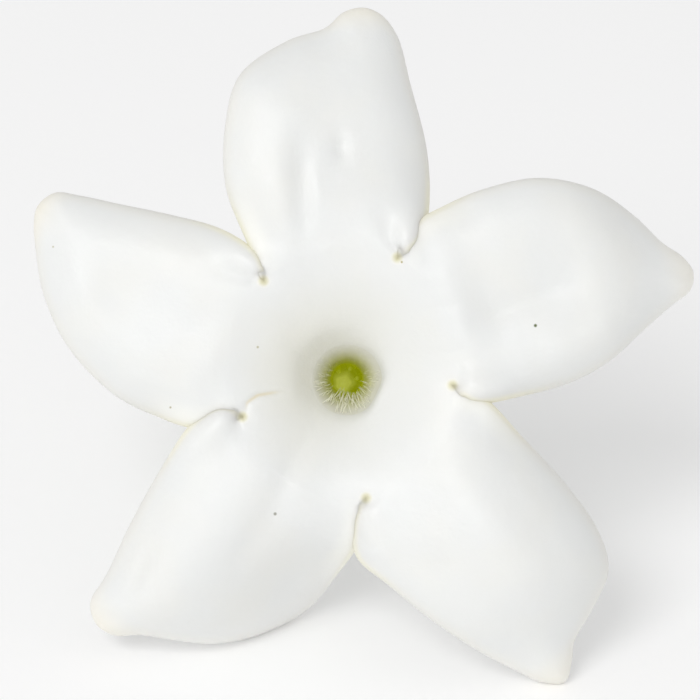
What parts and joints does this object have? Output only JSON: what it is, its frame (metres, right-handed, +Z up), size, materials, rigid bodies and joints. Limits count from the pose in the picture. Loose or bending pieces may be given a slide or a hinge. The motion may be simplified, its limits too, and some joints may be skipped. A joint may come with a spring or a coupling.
{
  "type": "stephanotis flower",
  "caption": "Picked stephanotis blossom lying on its side: a waxy white tube that flares into pointed, overlapping lobes, on a short green stalk.",
  "frame": {"origin": "on the surface the blossom lies on, under the middle of its box", "axes": "+Z up from the surface; the flower's face looks to -Y and upwards; +X to the right for someone who looks at the face"},
  "size_m": [0.0468, 0.0464, 0.0421],
  "materials": {
    "petal": "thick white petal, waxy and satin, faintly translucent",
    "column": "pale yellow-green, smooth and moist",
    "sepal": "mid-green sepal, satin",
    "stalk": "green stalk, satin"
  },
  "bodies": {
    "root": {"corolla": "petal", "gynostegium": "column", "calyx": "sepal", "pedicel": "stalk"}
  },
  "joints": []
}
